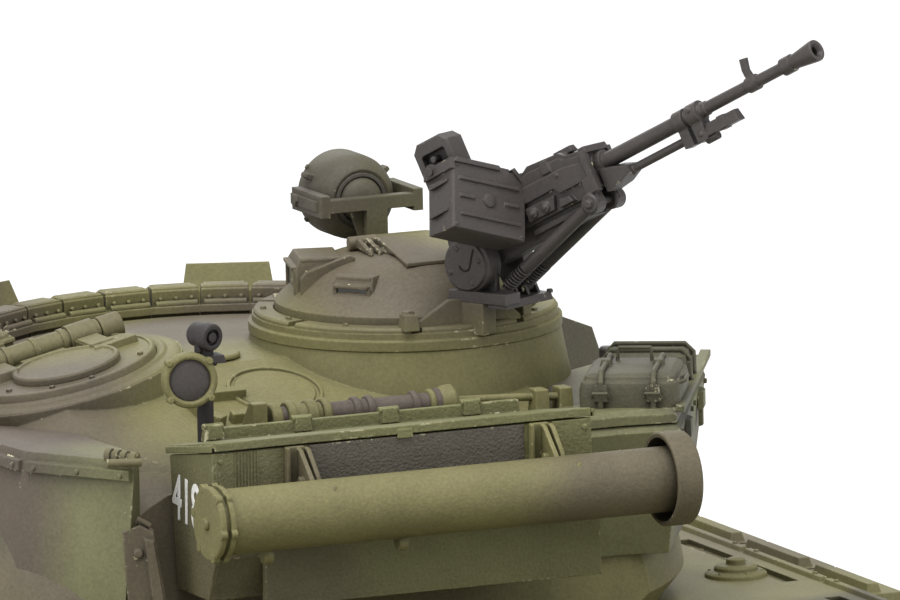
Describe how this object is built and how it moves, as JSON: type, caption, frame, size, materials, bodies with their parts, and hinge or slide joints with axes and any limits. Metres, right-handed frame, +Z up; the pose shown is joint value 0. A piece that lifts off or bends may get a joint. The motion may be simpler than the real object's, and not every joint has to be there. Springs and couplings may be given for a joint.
{
  "type": "radio controlled tank",
  "caption": "Radio controlled model tank with a turning turret, elevating main gun and roof machine gun, opening covers, sprung-look running gear and drive parts inside.",
  "frame": {"origin": "ground under the middle of the model's overall box, at the underside of the tracks", "axes": "+Y towards the muzzle of the main gun, +Z up, +X to the tank's right"},
  "size_m": [0.236, 0.596, 0.1964],
  "materials": {
    "olive_paint": "matte olive paint with soft brown camouflage, worn edges",
    "dark_paint": "matt warm dark grey paint, worn edges",
    "track_metal": "matt dark grey-brown, dusty",
    "wheel_rubber": "matt black",
    "dark_plastic": "matt dark grey moulded",
    "green_board": "satin green circuit board",
    "battery_wrap": "satin shrink wrap, unprinted",
    "gear_plastic": "satin natural grey moulded",
    "screw_steel": "blackened steel, satin",
    "lamp_body": "matt dark grey with a dark glass front"
  },
  "bodies": {
    "hull": {"lower_hull": "olive_paint", "upper_hull": "olive_paint", "side_skirts": "olive_paint", "engine_deck": "olive_paint", "drive_gearboxes": "gear_plastic", "battery_pack": "battery_wrap", "control_board": "green_board", "speaker": "dark_plastic", "turret_drive": "gear_plastic", "hull_screws": "screw_steel", "track_left": "track_metal", "track_right": "track_metal"},
    "turret": {"turret_shell": "olive_paint", "rear_bin": "olive_paint", "side_bins": "olive_paint", "snorkel_tube": "olive_paint", "snorkel_brackets": "dark_paint", "era_blocks": "olive_paint", "sensor_mast": "dark_paint"},
    "bin_lid": {"rear_bin_lid": "olive_paint"},
    "gunner_cover": {"gunner_hatch": "olive_paint"},
    "gun": {"gun_mantlet": "olive_paint", "gun_barrel": "olive_paint"},
    "cupola_ring": {"cupola": "olive_paint", "gun_mount": "dark_paint"},
    "commander_cover": {"commander_hatch": "olive_paint"},
    "lamp": {"searchlight": "lamp_body"},
    "roof_gun": {"machine_gun": "dark_paint", "ammo_box": "dark_paint"},
    "sprocket_left_body": {"drive_sprocket_left": "track_metal"},
    "idler_left_body": {"idler_left": "track_metal"},
    "arm_left_1_body": {"swing_arm_left_1": "track_metal"},
    "wheel_left_1_body": {"road_wheel_left_1": "wheel_rubber"},
    "arm_left_2_body": {"swing_arm_left_2": "track_metal"},
    "wheel_left_2_body": {"road_wheel_left_2": "wheel_rubber"},
    "arm_left_3_body": {"swing_arm_left_3": "track_metal"},
    "wheel_left_3_body": {"road_wheel_left_3": "wheel_rubber"},
    "arm_left_4_body": {"swing_arm_left_4": "track_metal"},
    "wheel_left_4_body": {"road_wheel_left_4": "wheel_rubber"},
    "arm_left_5_body": {"swing_arm_left_5": "track_metal"},
    "wheel_left_5_body": {"road_wheel_left_5": "wheel_rubber"},
    "arm_left_6_body": {"swing_arm_left_6": "track_metal"},
    "wheel_left_6_body": {"road_wheel_left_6": "wheel_rubber"},
    "sprocket_right_body": {"drive_sprocket_right": "track_metal"},
    "idler_right_body": {"idler_right": "track_metal"},
    "arm_right_1_body": {"swing_arm_right_1": "track_metal"},
    "wheel_right_1_body": {"road_wheel_right_1": "wheel_rubber"},
    "arm_right_2_body": {"swing_arm_right_2": "track_metal"},
    "wheel_right_2_body": {"road_wheel_right_2": "wheel_rubber"},
    "arm_right_3_body": {"swing_arm_right_3": "track_metal"},
    "wheel_right_3_body": {"road_wheel_right_3": "wheel_rubber"},
    "arm_right_4_body": {"swing_arm_right_4": "track_metal"},
    "wheel_right_4_body": {"road_wheel_right_4": "wheel_rubber"},
    "arm_right_5_body": {"swing_arm_right_5": "track_metal"},
    "wheel_right_5_body": {"road_wheel_right_5": "wheel_rubber"},
    "arm_right_6_body": {"swing_arm_right_6": "track_metal"},
    "wheel_right_6_body": {"road_wheel_right_6": "wheel_rubber"},
    "return_roller_1_body": {"return_roller_1": "wheel_rubber"},
    "return_roller_2_body": {"return_roller_2": "wheel_rubber"},
    "return_roller_3_body": {"return_roller_3": "wheel_rubber"}
  },
  "joints": [
    {"name": "turret_rotation", "type": "hinge", "parent": "hull", "child": "turret", "pos_m": [0, -0.057, 0.088], "axis": [0, 0, 1], "range_deg": [-160, 160]},
    {"name": "gun_elevation", "type": "hinge", "parent": "turret", "child": "gun", "pos_m": [0, 0.003, 0.107], "axis": [1, 0, 0], "range_deg": [-4, 13]},
    {"name": "bin_lid_hinge", "type": "hinge", "parent": "turret", "child": "bin_lid", "pos_m": [0, -0.1116, 0.1308], "axis": [-1, 0, 0], "range_deg": [0, 70]},
    {"name": "gunner_cover_hinge", "type": "hinge", "parent": "turret", "child": "gunner_cover", "pos_m": [-0.03683, -0.052, 0.13541], "axis": [-0.9781, 0, -0.2079], "range_deg": [0, 85]},
    {"name": "cupola_rotation", "type": "hinge", "parent": "turret", "child": "cupola_ring", "pos_m": [0.031, -0.063, 0.139], "axis": [0, 0, 1], "continuous": true},
    {"name": "commander_cover_hinge", "type": "hinge", "parent": "cupola_ring", "child": "commander_cover", "pos_m": [0.043, -0.063, 0.1513], "axis": [0, 1, 0], "range_deg": [0, 85]},
    {"name": "searchlight_tilt", "type": "hinge", "parent": "cupola_ring", "child": "lamp", "pos_m": [0.03, -0.0405, 0.1565], "axis": [1, 0, 0], "range_deg": [-12, 12]},
    {"name": "roof_gun_elevation", "type": "hinge", "parent": "cupola_ring", "child": "roof_gun", "pos_m": [0.0387, -0.085, 0.1504], "axis": [-0.866, -0.5, 0], "range_deg": [-26, 18]},
    {"name": "sprocket_left_spin", "type": "hinge", "parent": "hull", "child": "sprocket_left_body", "pos_m": [-0.087, -0.266, 0.042], "axis": [1, 0, 0], "continuous": true},
    {"name": "idler_left_spin", "type": "hinge", "parent": "hull", "child": "idler_left_body", "pos_m": [-0.087, 0.099, 0.042], "axis": [1, 0, 0], "continuous": true},
    {"name": "arm_left_1_swing", "type": "hinge", "parent": "hull", "child": "arm_left_1_body", "pos_m": [-0.0665, 0.061, 0.036], "axis": [-1, 0, 0], "range_deg": [0, 12]},
    {"name": "wheel_left_1_spin", "type": "hinge", "parent": "arm_left_1_body", "child": "wheel_left_1_body", "pos_m": [-0.087, 0.047, 0.027], "axis": [1, 0, 0], "continuous": true},
    {"name": "arm_left_2_swing", "type": "hinge", "parent": "hull", "child": "arm_left_2_body", "pos_m": [-0.0665, 0.0076, 0.036], "axis": [-1, 0, 0], "range_deg": [0, 12]},
    {"name": "wheel_left_2_spin", "type": "hinge", "parent": "arm_left_2_body", "child": "wheel_left_2_body", "pos_m": [-0.087, -0.0064, 0.027], "axis": [1, 0, 0], "continuous": true},
    {"name": "arm_left_3_swing", "type": "hinge", "parent": "hull", "child": "arm_left_3_body", "pos_m": [-0.0665, -0.0458, 0.036], "axis": [-1, 0, 0], "range_deg": [0, 12]},
    {"name": "wheel_left_3_spin", "type": "hinge", "parent": "arm_left_3_body", "child": "wheel_left_3_body", "pos_m": [-0.087, -0.0598, 0.027], "axis": [1, 0, 0], "continuous": true},
    {"name": "arm_left_4_swing", "type": "hinge", "parent": "hull", "child": "arm_left_4_body", "pos_m": [-0.0665, -0.0992, 0.036], "axis": [-1, 0, 0], "range_deg": [0, 12]},
    {"name": "wheel_left_4_spin", "type": "hinge", "parent": "arm_left_4_body", "child": "wheel_left_4_body", "pos_m": [-0.087, -0.1132, 0.027], "axis": [1, 0, 0], "continuous": true},
    {"name": "arm_left_5_swing", "type": "hinge", "parent": "hull", "child": "arm_left_5_body", "pos_m": [-0.0665, -0.1526, 0.036], "axis": [-1, 0, 0], "range_deg": [0, 12]},
    {"name": "wheel_left_5_spin", "type": "hinge", "parent": "arm_left_5_body", "child": "wheel_left_5_body", "pos_m": [-0.087, -0.1666, 0.027], "axis": [1, 0, 0], "continuous": true},
    {"name": "arm_left_6_swing", "type": "hinge", "parent": "hull", "child": "arm_left_6_body", "pos_m": [-0.0665, -0.206, 0.036], "axis": [-1, 0, 0], "range_deg": [0, 12]},
    {"name": "wheel_left_6_spin", "type": "hinge", "parent": "arm_left_6_body", "child": "wheel_left_6_body", "pos_m": [-0.087, -0.22, 0.027], "axis": [1, 0, 0], "continuous": true},
    {"name": "sprocket_right_spin", "type": "hinge", "parent": "hull", "child": "sprocket_right_body", "pos_m": [0.087, -0.266, 0.042], "axis": [1, 0, 0], "continuous": true},
    {"name": "idler_right_spin", "type": "hinge", "parent": "hull", "child": "idler_right_body", "pos_m": [0.087, 0.099, 0.042], "axis": [1, 0, 0], "continuous": true},
    {"name": "arm_right_1_swing", "type": "hinge", "parent": "hull", "child": "arm_right_1_body", "pos_m": [0.0665, 0.061, 0.036], "axis": [-1, 0, 0], "range_deg": [0, 12]},
    {"name": "wheel_right_1_spin", "type": "hinge", "parent": "arm_right_1_body", "child": "wheel_right_1_body", "pos_m": [0.087, 0.047, 0.027], "axis": [1, 0, 0], "continuous": true},
    {"name": "arm_right_2_swing", "type": "hinge", "parent": "hull", "child": "arm_right_2_body", "pos_m": [0.0665, 0.0076, 0.036], "axis": [-1, 0, 0], "range_deg": [0, 12]},
    {"name": "wheel_right_2_spin", "type": "hinge", "parent": "arm_right_2_body", "child": "wheel_right_2_body", "pos_m": [0.087, -0.0064, 0.027], "axis": [1, 0, 0], "continuous": true},
    {"name": "arm_right_3_swing", "type": "hinge", "parent": "hull", "child": "arm_right_3_body", "pos_m": [0.0665, -0.0458, 0.036], "axis": [-1, 0, 0], "range_deg": [0, 12]},
    {"name": "wheel_right_3_spin", "type": "hinge", "parent": "arm_right_3_body", "child": "wheel_right_3_body", "pos_m": [0.087, -0.0598, 0.027], "axis": [1, 0, 0], "continuous": true},
    {"name": "arm_right_4_swing", "type": "hinge", "parent": "hull", "child": "arm_right_4_body", "pos_m": [0.0665, -0.0992, 0.036], "axis": [-1, 0, 0], "range_deg": [0, 12]},
    {"name": "wheel_right_4_spin", "type": "hinge", "parent": "arm_right_4_body", "child": "wheel_right_4_body", "pos_m": [0.087, -0.1132, 0.027], "axis": [1, 0, 0], "continuous": true},
    {"name": "arm_right_5_swing", "type": "hinge", "parent": "hull", "child": "arm_right_5_body", "pos_m": [0.0665, -0.1526, 0.036], "axis": [-1, 0, 0], "range_deg": [0, 12]},
    {"name": "wheel_right_5_spin", "type": "hinge", "parent": "arm_right_5_body", "child": "wheel_right_5_body", "pos_m": [0.087, -0.1666, 0.027], "axis": [1, 0, 0], "continuous": true},
    {"name": "arm_right_6_swing", "type": "hinge", "parent": "hull", "child": "arm_right_6_body", "pos_m": [0.0665, -0.206, 0.036], "axis": [-1, 0, 0], "range_deg": [0, 12]},
    {"name": "wheel_right_6_spin", "type": "hinge", "parent": "arm_right_6_body", "child": "wheel_right_6_body", "pos_m": [0.087, -0.22, 0.027], "axis": [1, 0, 0], "continuous": true},
    {"name": "return_roller_1_spin", "type": "hinge", "parent": "hull", "child": "return_roller_1_body", "pos_m": [0, 0.0203, 0.056], "axis": [1, 0, 0], "continuous": true},
    {"name": "return_roller_2_spin", "type": "hinge", "parent": "hull", "child": "return_roller_2_body", "pos_m": [0, -0.0865, 0.056], "axis": [1, 0, 0], "continuous": true},
    {"name": "return_roller_3_spin", "type": "hinge", "parent": "hull", "child": "return_roller_3_body", "pos_m": [0, -0.1933, 0.056], "axis": [1, 0, 0], "continuous": true}
  ],
  "couplings": [
    {"joint": "idler_left_spin", "follows": "sprocket_left_spin", "ratio": 1.1118},
    {"joint": "wheel_left_1_spin", "follows": "sprocket_left_spin", "ratio": 0.81466},
    {"joint": "wheel_left_2_spin", "follows": "sprocket_left_spin", "ratio": 0.81466},
    {"joint": "wheel_left_3_spin", "follows": "sprocket_left_spin", "ratio": 0.81466},
    {"joint": "wheel_left_4_spin", "follows": "sprocket_left_spin", "ratio": 0.81466},
    {"joint": "wheel_left_5_spin", "follows": "sprocket_left_spin", "ratio": 0.81466},
    {"joint": "wheel_left_6_spin", "follows": "sprocket_left_spin", "ratio": 0.81466},
    {"joint": "idler_right_spin", "follows": "sprocket_right_spin", "ratio": 1.1118},
    {"joint": "wheel_right_1_spin", "follows": "sprocket_right_spin", "ratio": 0.81466},
    {"joint": "wheel_right_2_spin", "follows": "sprocket_right_spin", "ratio": 0.81466},
    {"joint": "wheel_right_3_spin", "follows": "sprocket_right_spin", "ratio": 0.81466},
    {"joint": "wheel_right_4_spin", "follows": "sprocket_right_spin", "ratio": 0.81466},
    {"joint": "wheel_right_5_spin", "follows": "sprocket_right_spin", "ratio": 0.81466},
    {"joint": "wheel_right_6_spin", "follows": "sprocket_right_spin", "ratio": 0.81466}
  ]
}
